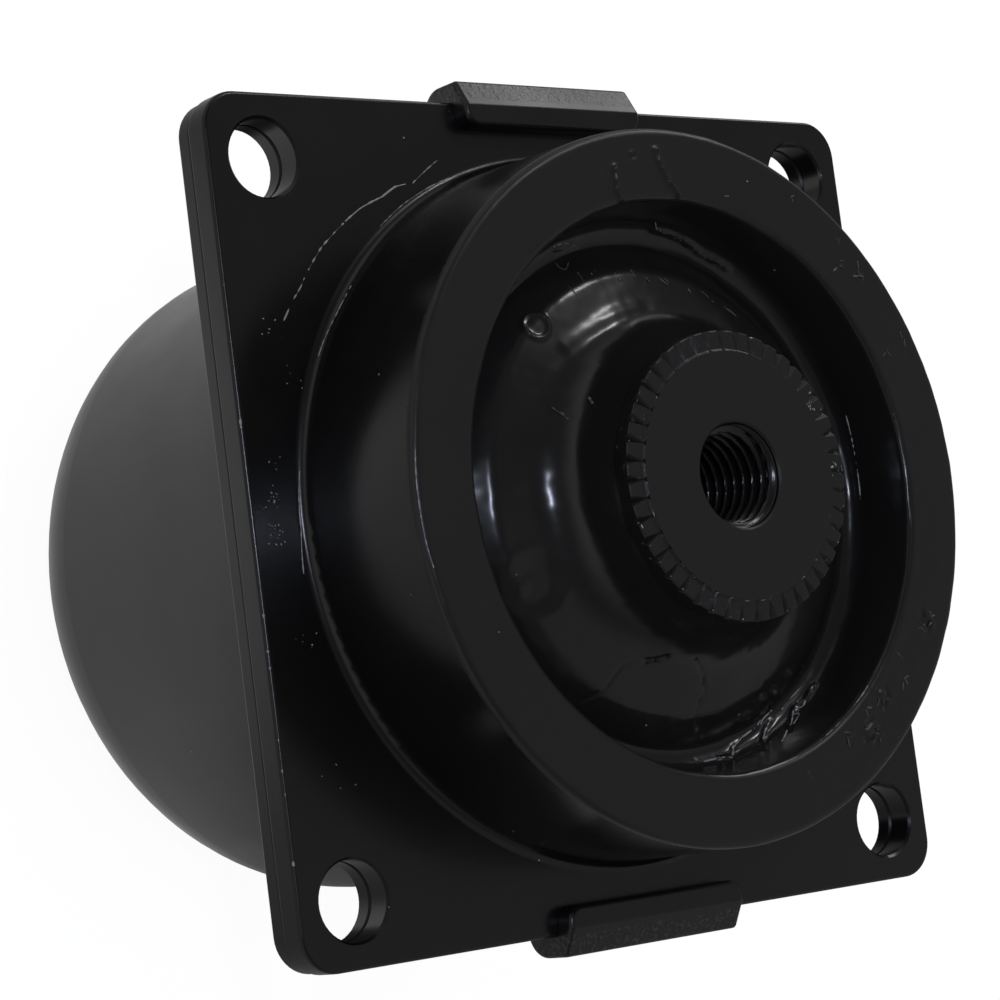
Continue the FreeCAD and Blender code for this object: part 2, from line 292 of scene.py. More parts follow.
@dataclass(frozen=True)
class Ridge:
    """A thin raised line, or a crack where its height is below 0.

    Its height is height * exp(-(d / width)^2), where d is the distance to the
    nearest stretch of the track, roughened by waves along it.
    """

    track: tuple[Spot, ...]
    width: float
    height: float
    roughness: float = 0.35

    def relief(self, points: np.ndarray) -> np.ndarray:
        """The ridge's heights."""
        stops = cartesian(self.track)
        nearest = np.full(points.shape[:-1], np.inf)
        for start, end in zip(stops[:-1], stops[1:]):
            span = end - start
            share = np.clip(((points - start) @ span) / (span @ span), 0, 1)
            gap = np.linalg.norm(points - start - share[..., None] * span, axis=-1)
            nearest = np.minimum(nearest, gap)
        shape = np.exp(-(nearest / self.width) ** 2)
        seed = int(abs(stops[0].sum()) * 10)
        return self.height * shape * (1 + self.roughness * waves(points, 1.6, seed, 10))


@dataclass(frozen=True)
class RoundMark:
    """A round mark of the mould: a dish or a pad with a raised rim.

    Its height is dish * (1 - s(1.6 d / radius - 0.6)) + rim * exp(-((d - radius) /
    rim_width)^2), where d is the distance to its centre and s the smooth step.
    """

    centre: Spot
    radius: float
    dish: float
    rim: float
    rim_width: float = 0.3

    def relief(self, points: np.ndarray) -> np.ndarray:
        """The mark's heights."""
        gap = np.linalg.norm(points - cartesian([self.centre]), axis=-1)
        floor = self.dish * (1 - smooth_step(gap / self.radius * 1.6 - 0.6))
        return floor + self.rim * np.exp(-((gap - self.radius) / self.rim_width) ** 2)


@dataclass(frozen=True)
class Scuff:
    """A patch of torn paint: sharp waves under a soft round mask."""

    centre: Spot
    radius: float
    height: float
    grain: float = 1.1

    def relief(self, points: np.ndarray) -> np.ndarray:
        """The patch's heights."""
        gap = np.linalg.norm(points - cartesian([self.centre]), axis=-1)
        mask = np.exp(-(gap / self.radius) ** 4)
        seed = int(self.centre[2] * 7)
        torn = np.clip(waves(points, self.grain, seed, 16) * 1.8, -1, 1)
        return self.height * mask * torn


# Dried paint

@dataclass(frozen=True)
class PaintThread:
    """A thin bead of dried paint that lies along a track on a surface.

    Its section is a circle around the track, whose radius is multiplied by clipped
    waves, so that the bead swells, thins out and breaks up into drops.

    Attributes:
        track: the track's turns.
        thickness: the circle's radius.
        beading: 0 for an even bead, 1 for one broken up into drops.
        step: distance between the bead's rings of points.
        sides: points in each ring.
    """

    track: tuple[Spot, ...]
    thickness: float = 0.16
    beading: float = 0.5
    step: float = 0.17
    sides: int = 8

    def mesh(self) -> tuple[np.ndarray, list[list[int]]]:
        """Points and faces of the closed bead, with outward faces."""
        stops = np.array(self.track)
        share = np.linspace(0, len(stops) - 1, 24 * (len(stops) - 1) + 1)
        bent = np.stack([np.interp(share, np.arange(len(stops)), stops[:, k])
                         for k in range(3)], axis=1)
        line = resampled(cartesian(bent), self.step)
        bends = np.pad(line, ((2, 2), (0, 0)), mode="edge")
        line = sum(bends[k:len(bends) - 4 + k] for k in range(5)) / 5
        drops = np.clip(0.4 + 1.3 * waves(line, 1.4, 3, 10), 0.03, 1.0)
        size = self.thickness * (1 - self.beading + self.beading * drops)
        size[0] = size[-1] = 0.25 * self.thickness
        return tube(line, size, self.sides)


def painted(name: str, threads: Sequence[PaintThread]) -> bpy.types.Object:
    """One piece from many beads."""
    points, faces, count = [], [], 0
    for thread in threads:
        spots, rows = thread.mesh()
        faces += [[number + count for number in row] for row in rows]
        points.append(spots)
        count += len(spots)
    return make_piece(name, np.concatenate(points), faces, 60.0)


def specks(radius: float, height: float, angle: float, spread: float, count: int,
           seed: int, thickness: float = 0.12, length: float = 0.4,
           band: tuple[float, float] = (0.0, math.inf)) -> list[PaintThread]:
    """Drops of dried paint strewn round a place on a level face, most of them small.

    Args:
        radius: the place's radius.
        height: its height.
        angle: its angle in degrees.
        spread: how far the drops are strewn, in millimetres.
        count: how many there are.
        seed: number that fixes them.
        thickness: radius of the largest drop.
        length: length of the longest drop.
        band: radii between which the face is level; drops outside it are left out.

    Returns:
        The drops, each a very short bead.
    """
    chance = np.random.default_rng(seed)
    radii = radius + spread * chance.normal(size=count) * 0.5
    angles = angle + np.degrees(spread * chance.normal(size=count) * 0.5 / radius)
    share = chance.uniform(0.3, 1.0, size=count) ** 2
    ways = chance.uniform(0, 2 * math.pi, size=count)
    out = length * np.sqrt(share) * np.cos(ways)
    round_axis = np.degrees(length * np.sqrt(share) * np.sin(ways) / radius)
    return [PaintThread(((r, height, a), (r + dr, height, a + da)), thickness * size, 0.3)
            for r, a, dr, da, size in zip(radii, angles, out, round_axis, share + 0.15)
            if band[0] < min(r, r + dr) and max(r, r + dr) < band[1]]


# Finishes

def colour(code: str) -> tuple[float, float, float, float]:
    """An sRGB hex colour as linear red, green, blue and 1."""
    parts = [int(code[k:k + 2], 16) / 255 for k in (1, 3, 5)]
    linear = [p / 12.92 if p <= 0.04045 else ((p + 0.055) / 1.055) ** 2.4 for p in parts]
    return (linear[0], linear[1], linear[2], 1.0)


def add_node(tree: bpy.types.NodeTree, kind: str, sockets: dict | None = None,
             **settings: object) -> bpy.types.Node:
    """Adds one node with its settings, values and links.

    Args:
        tree: the node tree.
        kind: the node's type name, without ShaderNode.
        sockets: input name or number, to a value or to the output that feeds it.
        **settings: properties of the node itself.

    Returns:
        The new node.
    """
    node = tree.nodes.new("ShaderNode" + kind)
    for key, value in settings.items():
        setattr(node, key, value)
    for key, value in (sockets or {}).items():
        if isinstance(value, bpy.types.NodeSocket):
            tree.links.new(value, node.inputs[key])
        else:
            node.inputs[key].default_value = value
    return node


@dataclass(frozen=True)
class Wear:
    """A worn zone: all of a surface past some distance from the part's axis.

    Attributes:
        axes: which of x, y and z count in that distance.
        start: the distance, in millimetres.
        lump_size: width of the zone's uneven lumps.
        lump_height: their height.
        chipped: 0 to 0.5, more for a larger share where the coat is thin or chipped.
        chip_colour: what shows there.
        fade: the distance over which the zone sets in.
    """

    axes: tuple[float, float, float]
    start: float
    lump_size: float
    lump_height: float
    chipped: float
    chip_colour: str
    fade: float = 0.2

    def applied(self, tree: bpy.types.NodeTree, place: bpy.types.NodeSocket,
                base: bpy.types.NodeSocket, normal: bpy.types.NodeSocket
                ) -> tuple[bpy.types.NodeSocket, bpy.types.NodeSocket]:
        """The surface's colour and normal with the worn zone in them."""
        counted = add_node(tree, "VectorMath", {0: place, 1: self.axes},
                           operation="MULTIPLY").outputs["Vector"]
        far = add_node(tree, "VectorMath", {0: counted},
                       operation="LENGTH").outputs["Value"]
        zone = add_node(tree, "MapRange",
                        {"Value": far, "From Min": (self.start - self.fade) * MM,
                         "From Max": self.start * MM}).outputs["Result"]
        lumps = add_node(tree, "TexNoise",
                         {"Vector": place, "Scale": 1 / (self.lump_size * MM),
                          "Detail": 3.0}).outputs["Fac"]
        height = add_node(tree, "Math", {0: zone, 1: self.lump_height * MM},
                          operation="MULTIPLY").outputs["Value"]
        bump = add_node(tree, "Bump",
                        {"Height": lumps, "Distance": height, "Normal": normal})
        patches = add_node(tree, "TexNoise",
                           {"Vector": place, "Scale": 1 / (0.6 * self.lump_size * MM),
                            "Detail": 4.0}).outputs["Fac"]
        coated = 0.7 - self.chipped
        bare = add_node(tree, "MapRange",
                        {"Value": patches, "From Min": coated - 0.02,
                         "From Max": coated + 0.02}).outputs["Result"]
        chips = add_node(tree, "Math", {0: bare, 1: zone},
                         operation="MULTIPLY").outputs["Value"]
        worn = add_node(tree, "Mix",
                        {0: chips, 6: base, 7: colour(self.chip_colour)},
                        data_type="RGBA").outputs[2]
        return worn, bump.outputs["Normal"]


@dataclass(frozen=True)
class Finish:
    """How one surface looks. Lengths are in millimetres.

    Attributes:
        name: the material's name.
        colour: the surface's own colour.
        tint: a second colour that large clouds bring in.
        roughness: its lowest roughness.
        roughness_spread: how much the clouds add to it.
        cloud_size: width of the clouds.
        peel_size: width of the soft dimples that a sprayed coat dries with.
        peel_height: their height.
        grain_size: width of the fine grain.
        grain_height: its height.
        dust_cell: mean distance between dust specks, 0 for none.
        dust_size: radius of a speck.
        dust_colour: colour of the specks.
        dust_share: share of the cells that hold a speck.
        dust_dulling: how much a speck adds to the roughness.
        metallic: 1 on bare metal.
        wear: the worn zone, where there is one.
    """

    name: str
    colour: str
    tint: str
    roughness: float
    roughness_spread: float
    cloud_size: float = 14.0
    peel_size: float = 2.2
    peel_height: float = 0.012
    grain_size: float = 0.35
    grain_height: float = 0.004
    dust_cell: float = 0.0
    dust_size: float = 0.14
    dust_colour: str = "#8c8d8f"
    dust_share: float = 0.35
    dust_dulling: float = 0.4
    metallic: float = 0.0
    wear: Wear | None = None

    def material(self) -> bpy.types.Material:
        """The finish as a procedural material on Object coordinates."""
        material = bpy.data.materials.new(self.name)
        material.use_nodes = True
        tree = material.node_tree
        tree.nodes.clear()
        place = add_node(tree, "TexCoord").outputs["Object"]
        clouds = add_node(tree, "TexNoise",
                          {"Vector": place, "Scale": 1 / (self.cloud_size * MM),
                           "Detail": 4.0}).outputs["Fac"]
        base = add_node(tree, "Mix",
                        {0: clouds, 6: colour(self.colour), 7: colour(self.tint)},
                        data_type="RGBA").outputs[2]
        rough = add_node(tree, "MapRange",
                         {"Value": clouds, "From Min": 0.3, "From Max": 0.7,
                          "To Min": self.roughness,
                          "To Max": self.roughness + self.roughness_spread}).outputs["Result"]
        base, rough = self.dusted(tree, place, base, rough)
        under = {}
        for size, height, detail in ((self.peel_size, self.peel_height, 1.0),
                                     (self.grain_size, self.grain_height, 2.0)):
            noise = add_node(tree, "TexNoise", {"Vector": place, "Scale": 1 / (size * MM),
                                                "Detail": detail}).outputs["Fac"]
            normal = add_node(tree, "Bump", {"Height": noise, "Distance": height * MM,
                                             **under}).outputs["Normal"]
            under = {"Normal": normal}
        if self.wear:
            base, normal = self.wear.applied(tree, place, base, normal)
        shader = add_node(tree, "BsdfPrincipled",
                          {"Base Color": base, "Roughness": rough,
                           "Metallic": self.metallic, "Normal": normal})
        add_node(tree, "OutputMaterial", {"Surface": shader.outputs["BSDF"]})
        return material

    def dusted(self, tree: bpy.types.NodeTree, place: bpy.types.NodeSocket,
               base: bpy.types.NodeSocket, rough: bpy.types.NodeSocket
               ) -> tuple[bpy.types.NodeSocket, bpy.types.NodeSocket]:
        """Adds pale dust specks: the nearest cell centre, where the cell is a dusty one."""
        if self.dust_cell <= 0:
            return base, rough
        cells = add_node(tree, "TexVoronoi",
                         {"Vector": place, "Scale": 1 / (self.dust_cell * MM)})
        near = add_node(tree, "Math",
                        {0: cells.outputs["Distance"], 1: self.dust_size / self.dust_cell},
                        operation="LESS_THAN").outputs["Value"]
        chance = add_node(tree, "SeparateColor",
                          {"Color": cells.outputs["Color"]}).outputs["Red"]
        picked = add_node(tree, "Math", {0: chance, 1: self.dust_share},
                          operation="LESS_THAN").outputs["Value"]
        speck = add_node(tree, "Math", {0: near, 1: picked},
                         operation="MULTIPLY").outputs["Value"]
        dusty = add_node(tree, "Mix", {0: speck, 6: base, 7: colour(self.dust_colour)},
                         data_type="RGBA").outputs[2]
        dull = add_node(tree, "Math", {0: speck, 1: self.dust_dulling, 2: rough},
                        operation="MULTIPLY_ADD").outputs["Value"]
        return dusty, dull


# Air-dried black enamel, sprayed over pressed steel: near black, satin, with soft peel.
FLANGE_ENAMEL = Finish("black_enamel_on_pressed_steel", "#0b0b0c", "#0f0f10", 0.20, 0.07,
                       dust_cell=4.0)
# The same enamel on the drawn cup, where it shines more; on the folded tabs, which the
# press has galled, it is lumpy and scuffed to grey.
CUP_ENAMEL = Finish("black_enamel_on_drawn_cup", "#0c0c0d", "#101011", 0.26, 0.08,
                    peel_size=3.0, peel_height=0.006, dust_cell=9.0,
                    wear=Wear((1.0, 0.0, 0.0), 65.1, 0.9, 0.10, 0.12, "#2c2d2f"))
# Enamel over moulded rubber in the recess: thick, wet-looking and gently wavy.
RECESS_ENAMEL = Finish("black_enamel_pooled_on_rubber", "#151516", "#1a1a1b", 0.16, 0.06,
                       peel_size=4.0, peel_height=0.012, grain_height=0.001, dust_cell=5.0,
                       dust_size=0.16)
# Thin enamel on the stop ring's moulded face: even and close to matt.
RING_ENAMEL = Finish("thin_black_enamel_on_stop_ring", "#101011", "#141415", 0.32, 0.08,
                     peel_height=0.006, dust_cell=6.0)
# Thin enamel on the turned boss: the teeth at the rim are bruised and chipped.
BOSS_ENAMEL = Finish("thin_black_enamel_on_turned_boss", "#101011", "#141416", 0.34, 0.08,
                     peel_height=0.006, dust_cell=5.0,
                     wear=Wear((1.0, 1.0, 0.0), 18.7, 2.0, 0.16, 0.02, "#3a3b3e"))
# Scraps of torn enamel: mid grey, partly for stretched and dusty paint and partly as painted sheen
# that stands in for their glints.
SCRAP_ENAMEL_DUST_AND_SHEEN = Finish("torn_enamel_scraps_dust_and_painted_sheen", "#505155", "#2a2b2d", 0.22, 0.10)
# Sharp beads and wrinkles of enamel, coloured pale grey as a painted highlight that stands in for
# their glints.
PAINTED_GLINT_ENAMEL = Finish("pale_beads_for_painted_glints", "#a5a7ac", "#54565a", 0.18, 0.10,
                       peel_size=0.8)
# Paint and old oil in the thread: near black, with fine highlights along the crests.
THREAD_FILM = Finish("oily_enamel_in_thread", "#0b0b0c", "#121213", 0.16, 0.08,
                     peel_size=1.2, peel_height=0.02)
# Oiled pressed steel inside the cup: grey, bright and slightly cloudy.
OILED_STEEL = Finish("oiled_pressed_steel", "#8d8d8f", "#77777a", 0.28, 0.12, metallic=1.0)
# Shot-peened, oiled spring wire: dark grey with a fine pitted skin.
SPRING_STEEL = Finish("peened_spring_wire", "#5a5a5e", "#46464a", 0.34, 0.12,
                      grain_size=0.6, grain_height=0.02, metallic=1.0)
# Plain moulded rubber inside the cup: matt black with a faint mould grain.
PLAIN_RUBBER = Finish("moulded_black_rubber", "#161616", "#1d1d1d", 0.6, 0.15,
                      grain_size=0.5, grain_height=0.01)


def dress(node: str, material: bpy.types.Material) -> None:
    """Gives a CAD node its finish."""
    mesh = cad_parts[node].data
    mesh.materials.clear()
    mesh.materials.append(material)


def settle(piece: bpy.types.Object, material: bpy.types.Material) -> None:
    """Gives a new piece its material."""
    piece.data.materials.append(material)


# Sub-assemblies

@dataclass
class PressedCase:
    """The housing and the cup, with the paint that ran and dried on them; the beads are pale grey
    as a painted highlight.
    """

    plate_level: float = 88.5
    edge_level: float = 88.35
    edge_place: float = 64.7
    level_band: tuple[float, float] = (56.8, 84.0)

    def build(self) -> None:
        """Dresses both pressings and adds the dried paint, with pale beads along the neck's root
        that paint its highlight line.
        """
        dress("upper_housing", FLANGE_ENAMEL.material())
        dress("fluid_cup", CUP_ENAMEL.material())
        beads = painted("plate_paint_and_painted_glints", self.run() + self.root_highlight_beads() + self.drops()
                        + self.edge_chips())
        # The beads' pale colour is a painted highlight that stands in for their glints.
        settle(beads, PAINTED_GLINT_ENAMEL.material())
        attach(beads, Body.CASE.value)
        log.info("plate_paint_and_painted_glints: %d faces", len(beads.data.polygons))

    def run(self) -> list[PaintThread]:
        """The broken run of paint that lies round the neck's upper left side."""
        level = self.plate_level
        return [
            PaintThread(((60.0, level, 201.9), (59.4, level, 205.0), (58.8, level, 208.4)),
                        0.13, 0.8),
            PaintThread(((59.3, level, 209.4), (60.0, level, 211.5), (60.1, level, 214.5),
                         (61.2, level, 218.8), (61.7, level, 222.5)), 0.19, 0.5),
            PaintThread(((61.7, level, 222.7), (62.1, level, 226.1), (62.4, level, 228.4),
                         (62.4, level, 230.9), (62.4, level, 232.6)), 0.18, 0.95),
            PaintThread(((62.4, level, 233.7), (62.3, level, 235.5), (62.6, level, 237.7)),
                        0.14, 0.95),
            PaintThread(((62.7, level, 239.0), (62.8, level, 240.6), (62.9, level, 241.3)),
                        0.15, 0.95),
        ]

    def root_highlight_beads(self) -> list[PaintThread]:
        """Thin pale beads along the neck's root fillet, which paint the fillet's highlight line.
        """
        return [
            PaintThread(((56.5, 88.6, 197.5), (56.9, 88.5, 204.9), (57.1, 88.5, 212.0),
                         (57.0, 88.5, 218.1)), 0.10, 0.7),
            PaintThread(((55.5, 89.6, 228.5), (55.6, 89.5, 235.7), (55.8, 89.1, 241.0),
                         (55.8, 89.0, 244.5)), 0.09, 0.8),
            PaintThread(((56.2, 88.8, 261.7), (56.4, 88.6, 266.3), (56.5, 88.6, 270.7),
                         (57.0, 88.5, 274.5), (57.4, 88.5, 277.3)), 0.12, 0.5),
        ]

    def drops(self) -> list[PaintThread]:
        """Drops of paint strewn over the plate's left side."""
        level = self.plate_level
        strewn = [(60.9, 266.0, 1.6, 22), (61.0, 271.0, 1.8, 26), (59.2, 248.0, 2.4, 7),
                  (60.5, 286.0, 2.6, 7), (64.0, 243.0, 3.4, 6), (67.0, 305.0, 6.0, 8),
                  (60.5, 261.0, 1.5, 8)]
        threads = []
        for seed, (radius, angle, spread, count) in enumerate(strewn):
            threads += specks(radius, level, angle, spread, count, 40 + seed, 0.11, 0.6,
                              self.level_band)
        return threads

    def edge_chips(self) -> list[PaintThread]:
        """Chips along the plate's left edge."""
        edge = self.edge_place
        places = [(-36.0, 0.5), (-16.0, 1.6), (12.4, 0.9), (17.7, 0.6), (20.1, 0.7),
                  (30.5, 0.6), (34.9, 0.7), (38.3, 0.6), (48.0, 1.0), (-3.0, 0.4)]
        return [PaintThread(tuple((math.hypot(x, edge), self.edge_level,
                                   math.degrees(math.atan2(-edge, x)))
                                  for x in (start, start + length)), 0.2, 0.6)
                for start, length in places]


@dataclass
class RubberSpring:
    """The moulded rubber under its paint: the stop ring with its recess, and the bell."""

    pad_outer: float = 54.95
    skirt_level: float = 113.4
    lip_level: float = 114.1
    neck_radius: float = 55.0
    pad_level: float = 114.9
    recess_radius: float = 43.9
    groove_outer: float = 42.3
    groove_level: float = 103.0
    parting_radius: float = 39.4
    shoulder: Corner = Corner(34.5, 106.7, 4.0)
    bell_corner: Corner = Corner(24.2, 109.3, 9.0)
    bell_top: Corner = Corner(21.1, 119.3)
    bore_radius: float = 16.3
    liner_radius: float = 51.4
    lip_inner: float = 46.0
    under_lip: float = 110.1
    foot_level: float = 84.3
    cone_level: float = 93.3
    sway_size: float = 9.0
    recess_sway: float = 0.05
    bell_sway: float = 0.045
    face_sway: float = 0.02
    step: float = 0.3
    columns: int = 720

    def ring_marks(self) -> list:
        """What the mould and the paint left on the stop ring and the recess's wall."""
        face = self.pad_level
        return [
            Ridge(((44.4, face, 192.1), (45.8, face, 192.8), (47.0, face, 192.3),
                   (48.5, face, 191.8), (49.6, face, 191.5)), 0.34, 0.46, 0.2),
            Ridge(((44.6, face, 177.0), (46.2, face, 178.7), (48.2, face, 180.1),
                   (50.0, face, 181.0), (51.6, face, 181.2)), 0.36, 0.50, 0.2),
            Ridge(((48.6, face, 176.2), (50.0, face, 177.2)), 0.35, 0.06),
            Scuff((51.0, face, 186.6), 0.8, 0.25, 1.2),
            Scuff((49.9, face, 61.6), 1.7, 0.24, 1.8),
            Scuff((46.9, face, 42.0), 1.8, 0.28, 1.8),
            Scuff((48.9, face, 35.0), 2.0, 0.30, 1.9),
            Scuff((46.7, face, 29.6), 1.2, 0.18, 1.6),
            Scuff((51.0, face, 129.3), 1.0, 0.2, 1.5),
            Scuff((48.9, face, 133.7), 0.8, 0.16, 1.4),
            Ridge(((41.6, 103.8, 7.4), (42.1, 104.3, 10.6), (40.9, 103.5, 12.9),
                   (40.2, 103.2, 16.4), (39.9, 103.0, 22.1)), 0.45, 0.3),
            Ridge(((42.6, 106.0, 25.8), (42.5, 105.6, 28.0), (41.7, 103.9, 32.8),
                   (42.0, 104.4, 37.0), (41.9, 104.2, 40.7)), 0.45, 0.35),
            Ridge(((42.0, 104.4, 20.4), (41.2, 103.6, 23.1), (40.4, 103.2, 27.0)),
                  0.4, 0.3),
            Ridge(((42.1, 104.3, 171.4), (42.1, 104.2, 167.6), (41.9, 104.0, 162.2),
                   (41.4, 103.5, 157.3), (41.6, 103.7, 149.0)), 0.6, 0.4),
            Ridge(((40.7, 103.2, 199.4), (40.1, 103.1, 193.7)), 0.5, 0.3),
            Ridge(((41.9, 104.0, 1.4), (40.0, 103.1, 1.0)), 0.25, -0.2),
        ]

    def bell_marks(self) -> list:
        """What the mould left on the shoulder and the bell, with no signs among it."""
        return [
            RoundMark((34.2, 106.7, 220.5), 2.1, -0.05, 0.22),
            RoundMark((31.8, 107.3, 293.5), 5.4, -0.55, 0.04, 0.8),
            RoundMark((34.0, 106.6, 292.5), 1.3, 0.25, 0.12, 0.25),
            Ridge(((36.8, 105.0, 325.6), (34.2, 106.7, 327.9), (30.0, 107.8, 329.5),
                   (27.9, 108.5, 334.3), (27.1, 108.8, 341.6)), 0.3, -0.14),
            Ridge(((28.1, 108.4, 336.6), (26.4, 109.3, 344.0)), 0.35, -0.25),
            Ridge(((26.3, 109.3, 356.6), (28.6, 108.2, 1.4), (31.6, 107.4, 1.9),
                   (33.7, 106.9, 358.8), (36.6, 105.1, 0.6)), 0.25, -0.16),
            Ridge(((38.9, 103.5, 20.5), (38.6, 103.7, 26.4)), 0.45, 0.4),
            Ridge(((29.0, 108.1, 219.0), (28.6, 108.2, 213.0), (28.4, 108.3, 204.0),
                   (28.4, 108.3, 195.0), (28.6, 108.2, 186.0)), 1.1, 0.20, 0.0),
            RoundMark((33.8, 106.8, 23.5), 1.1, 0.15, 0.05, 0.4),
        ]

    def flakes(self) -> list[PaintThread]:
        """Sharp flakes on the stop ring."""
        face = self.pad_level
        flat = (self.recess_radius + 1.3, self.pad_outer - 1.3)
        threads = []
        torn = ((50.3, 62.0, 0.9, 9), (49.4, 59.4, 0.7, 4), (47.8, 51.9, 0.8, 4),
                (48.7, 48.3, 0.8, 4), (47.2, 42.2, 1.5, 10), (48.9, 35.0, 1.7, 12),
                (46.0, 37.2, 0.8, 4), (46.7, 29.5, 1.0, 5), (52.0, 136.4, 0.6, 5),
                (48.9, 133.7, 0.8, 6), (51.1, 129.3, 0.9, 8), (52.3, 114.6, 0.5, 3),
                (51.7, 149.4, 0.4, 2), (46.2, 163.4, 0.4, 2), (47.4, 114.6, 0.5, 3))
        for seed, (radius, angle, spread, count) in enumerate(torn):
            threads += specks(radius, face, angle, spread, count, 90 + seed, 0.15, 1.5,
                              flat)
        threads.append(PaintThread(((46.0, face, 16.2), (48.4, face, 16.6)), 0.11, 0.8))
        threads += specks(48.0, face, 45.0, 14.0, 22, 61, 0.11, band=flat)
        return threads + specks(48.0, face, 200.0, 22.0, 34, 62, 0.10, band=flat)

    def wrinkles(self) -> list[PaintThread]:
        """Wrinkles of pooled paint in the groove and along the recess's rim, pale grey as a
        painted highlight; some beads lie on edges only to paint highlight lines there.
        """
        tracks = (
            (((41.6, 103.7, 3.0), (41.6, 103.8, 7.4), (42.1, 104.3, 10.6), (40.9, 103.5, 12.9),
              (40.2, 103.2, 16.4), (40.0, 103.0, 22.1), (39.6, 103.0, 24.0)), 0.17, 0.6),
            (((40.2, 103.1, 23.0), (39.7, 103.0, 24.7), (39.6, 103.0, 28.4)), 0.12, 0.8),
            (((42.0, 104.4, 20.4), (41.2, 103.6, 23.1), (40.4, 103.2, 27.0)), 0.17, 0.6),
            (((42.9, 107.6, 21.2), (42.6, 106.0, 25.8), (42.5, 105.6, 28.0),
              (41.7, 103.9, 32.8), (42.3, 104.8, 34.2), (42.0, 104.4, 37.0),
              (41.9, 104.2, 40.7)), 0.17, 0.6),
            (((41.9, 104.2, 30.7), (42.4, 105.2, 32.2), (42.6, 105.9, 28.1)), 0.13, 0.7),
            (((40.6, 103.3, 30.2), (40.5, 103.2, 34.8), (40.8, 103.2, 39.1)), 0.11, 0.9),
            (((43.95, 113.9, 9.1), (44.0, 114.1, 16.7), (44.1, 114.3, 23.8),
              (44.1, 114.3, 29.7), (44.1, 114.3, 35.2), (44.1, 114.3, 41.6)), 0.15, 0.35),
            # This bead and the next lie on the rim's rounding and on the wall above the groove's
            # fillet, and paint thin highlight lines there.
            (((44.3, 114.5, 107.0), (44.3, 114.5, 100.1), (44.3, 114.5, 92.3),
              (44.3, 114.5, 84.4)), 0.12, 0.95),
            (((42.6, 106.0, 105.1), (42.6, 105.6, 96.8), (42.6, 105.3, 86.2)), 0.12, 0.95),
            # This bead lies on the ring's outer rounding, along the highlight line there, and
            # paints that line brighter.
            (((54.4, 114.75, 262.7), (54.5, 114.7, 267.5), (54.5, 114.7, 272.0),
              (54.5, 114.7, 275.9), (54.3, 114.8, 280.8)), 0.09, 0.7),
            (((41.8, 104.2, 170.0), (41.7, 104.0, 163.8), (41.6, 103.8, 157.7),
              (41.3, 103.5, 150.8)), 0.08, 0.8),
            (((42.7, 106.0, 173.2), (42.1, 104.6, 171.2), (41.9, 104.2, 166.6)), 0.10, 0.8),
            (((41.2, 103.5, 200.2), (41.2, 103.5, 198.1), (40.7, 103.3, 195.2),
              (40.1, 103.1, 193.7)), 0.10, 0.6),
        )
        return [PaintThread(*track) for track in tracks]

    def bell_threads(self) -> list[PaintThread]:
        """Worn scraps of flash across the shoulder, and two scraps on the bell."""
        scraps = (
            ((35.4, 106.0, 204.3), (34.1, 106.8, 204.5), (32.4, 107.3, 204.3)),
            ((36.4, 105.2, 198.6), (34.6, 106.6, 199.6)),
            ((35.6, 105.8, 195.4), (32.8, 107.1, 195.7)),
            ((35.7, 105.7, 193.9), (33.1, 107.1, 194.3)),
            ((34.6, 106.5, 188.7), (32.9, 107.2, 188.2)),
            ((34.8, 106.4, 187.1), (32.9, 107.2, 187.2)),
            ((34.8, 106.5, 183.1), (33.1, 107.2, 182.8)),
            ((33.4, 107.0, 179.1), (32.5, 107.4, 178.2)),
            ((33.6, 106.9, 174.4), (32.3, 107.4, 171.6)),
            ((33.6, 107.0, 172.4), (32.7, 107.2, 170.9)),
            ((32.9, 107.1, 164.3), (32.2, 107.4, 163.2)),
            ((33.5, 106.9, 159.1), (33.1, 106.9, 156.8), (32.6, 107.1, 154.2)),
            ((32.9, 107.2, 151.1), (33.0, 107.1, 148.1), (33.0, 107.0, 145.2)),
            ((39.0, 103.1, 200.9), (38.0, 104.1, 201.7), (37.3, 104.6, 200.7),
             (38.2, 103.9, 198.1)),
        )
        threads = [PaintThread(scrap, 0.15, 0.6) for scrap in scraps]
        threads.append(PaintThread(((27.0, 109.1, 240.6), (26.2, 109.7, 241.7),
                                    (25.3, 110.2, 242.0), (24.5, 111.0, 244.1)), 0.26, 0.8))
        threads.append(PaintThread(((23.7, 112.6, 233.8), (23.3, 113.4, 235.9),
                                    (23.1, 113.8, 237.0)), 0.26, 0.7))
        threads += specks(34.0, 106.75, 292.5, 2.0, 8, 71, 0.16, band=(32.8, 34.6))
        threads += specks(38.5, 103.75, 48.0, 5.0, 30, 72, 0.13, band=(38.0, 39.0))
        return threads

    def relief(self, points: np.ndarray, marks: Sequence, sway: float, seed: int) -> np.ndarray:
        """The moulding's own unevenness, sway high, with all the marks on it."""
        total = sway * (waves(points, self.sway_size, seed)
                        + 0.25 * waves(points, self.sway_size / 3, seed + 1))
        for mark in marks:
            total = total + mark.relief(points)
        return total

    def build(self) -> None:
        """Makes the pieces and dresses them."""
        enamel = RECESS_ENAMEL.material()
        scraps = SCRAP_ENAMEL_DUST_AND_SHEEN.material()
        ring = self.stop_ring()
        bell = self.bell()
        flakes = painted("ring_flakes", self.flakes())
        wrinkles = painted("groove_wrinkles_and_painted_glints", self.wrinkles())
        bell_beads = painted("bell_paint", self.bell_threads())
        settle(ring, RING_ENAMEL.material())
        ring.data.materials.append(enamel)
        self.paint_recess(ring)
        settle(bell, enamel)
        # Flakes and scraps are mid grey: partly dusty paint, partly painted sheen.
        settle(flakes, scraps)
